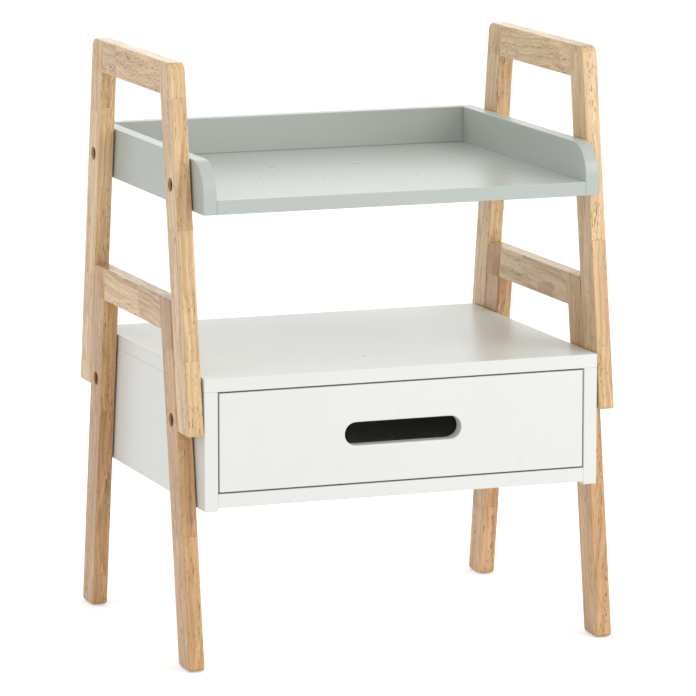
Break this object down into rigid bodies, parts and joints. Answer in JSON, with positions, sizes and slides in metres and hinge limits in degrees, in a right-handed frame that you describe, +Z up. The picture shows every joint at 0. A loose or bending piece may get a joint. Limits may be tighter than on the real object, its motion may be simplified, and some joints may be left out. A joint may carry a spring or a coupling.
{
  "type": "changing table",
  "caption": "Baby changing table on nested splayed wooden end frames: an open tray with a low wall on three sides above a white cabinet with a pull-out drawer.",
  "frame": {"origin": "on the floor, under the middle of the table", "axes": "+Z up, +X to the right seen from the front, and the front, with the drawer and the open edge of the tray, faces -Y"},
  "size_m": [0.71, 0.5588, 0.94],
  "materials": {
    "rubberwood": "finger-jointed rubberwood under clear satin lacquer",
    "dowel_wood": "fluted beech, raw",
    "sage_lacquer": "painted fibreboard, sage green satin lacquer",
    "white_lacquer": "painted fibreboard, white satin lacquer",
    "drawer_box_board": "white melamine on chipboard",
    "drawer_floor_board": "white faced hardboard",
    "bronzed_steel": "antique bronze plated steel",
    "zinc_steel": "bright zinc plated steel",
    "cast_zinc": "cast zinc alloy",
    "rail_steel": "rolled zinc plated steel",
    "ball_steel": "polished steel balls in a steel strip",
    "nylon": "moulded nylon, pale grey"
  },
  "bodies": {
    "table": {"cabinet_back": "white_lacquer", "cabinet_back_screws": "zinc_steel", "cabinet_bottom": "white_lacquer", "cabinet_cam_bolts": "zinc_steel", "cabinet_cam_discs": "cast_zinc", "cabinet_dowels": "dowel_wood", "cabinet_left_side": "white_lacquer", "cabinet_rail_left": "rail_steel", "cabinet_rail_right": "rail_steel", "cabinet_rail_screws": "zinc_steel", "cabinet_right_side": "white_lacquer", "cabinet_top": "white_lacquer", "foot_glides": "nylon", "frame_bolts": "bronzed_steel", "frame_dowels": "dowel_wood", "lower_left_crossbar": "rubberwood", "lower_left_front_leg": "rubberwood", "lower_left_rear_leg": "rubberwood", "lower_right_crossbar": "rubberwood", "lower_right_front_leg": "rubberwood", "lower_right_rear_leg": "rubberwood", "spacer_washers": "zinc_steel", "stacking_bolts": "bronzed_steel", "threaded_inserts": "zinc_steel", "tray_back": "sage_lacquer", "tray_back_screws": "zinc_steel", "tray_base": "sage_lacquer", "tray_cam_bolts": "zinc_steel", "tray_cam_discs": "cast_zinc", "tray_dowels": "dowel_wood", "tray_left_side": "sage_lacquer", "tray_right_side": "sage_lacquer", "upper_left_crossbar": "rubberwood", "upper_left_front_leg": "rubberwood", "upper_left_rear_leg": "rubberwood", "upper_right_crossbar": "rubberwood", "upper_right_front_leg": "rubberwood", "upper_right_rear_leg": "rubberwood"},
    "drawer": {"drawer_back": "drawer_box_board", "drawer_cam_bolts": "zinc_steel", "drawer_cam_discs": "cast_zinc", "drawer_dowels": "dowel_wood", "drawer_floor": "drawer_floor_board", "drawer_floor_screws": "zinc_steel", "drawer_front": "white_lacquer", "drawer_left_side": "drawer_box_board", "drawer_rail_left": "rail_steel", "drawer_rail_right": "rail_steel", "drawer_rail_screws": "zinc_steel", "drawer_right_side": "drawer_box_board"},
    "left_middle_rail": {"middle_rail_left": "rail_steel"},
    "right_middle_rail": {"middle_rail_right": "rail_steel"},
    "left_outer_balls": {"outer_balls_left": "ball_steel"},
    "right_outer_balls": {"outer_balls_right": "ball_steel"},
    "left_inner_balls": {"inner_balls_left": "ball_steel"},
    "right_inner_balls": {"inner_balls_right": "ball_steel"}
  },
  "joints": [
    {"name": "drawer_slide", "type": "slide", "parent": "table", "child": "drawer", "axis": [0, -1, 0], "range_m": [0, 0.4]},
    {"name": "left_middle_rail_slide", "type": "slide", "parent": "table", "child": "left_middle_rail", "axis": [0, -1, 0], "range_m": [0, 0.2]},
    {"name": "right_middle_rail_slide", "type": "slide", "parent": "table", "child": "right_middle_rail", "axis": [0, -1, 0], "range_m": [0, 0.2]},
    {"name": "left_outer_balls_slide", "type": "slide", "parent": "table", "child": "left_outer_balls", "axis": [0, -1, 0], "range_m": [0, 0.1]},
    {"name": "right_outer_balls_slide", "type": "slide", "parent": "table", "child": "right_outer_balls", "axis": [0, -1, 0], "range_m": [0, 0.1]},
    {"name": "left_inner_balls_slide", "type": "slide", "parent": "table", "child": "left_inner_balls", "axis": [0, -1, 0], "range_m": [0, 0.3]},
    {"name": "right_inner_balls_slide", "type": "slide", "parent": "table", "child": "right_inner_balls", "axis": [0, -1, 0], "range_m": [0, 0.3]}
  ],
  "couplings": [
    {"joint": "left_middle_rail_slide", "follows": "drawer_slide", "ratio": 0.5},
    {"joint": "right_middle_rail_slide", "follows": "drawer_slide", "ratio": 0.5},
    {"joint": "left_outer_balls_slide", "follows": "drawer_slide", "ratio": 0.25},
    {"joint": "right_outer_balls_slide", "follows": "drawer_slide", "ratio": 0.25},
    {"joint": "left_inner_balls_slide", "follows": "drawer_slide", "ratio": 0.75},
    {"joint": "right_inner_balls_slide", "follows": "drawer_slide", "ratio": 0.75}
  ]
}
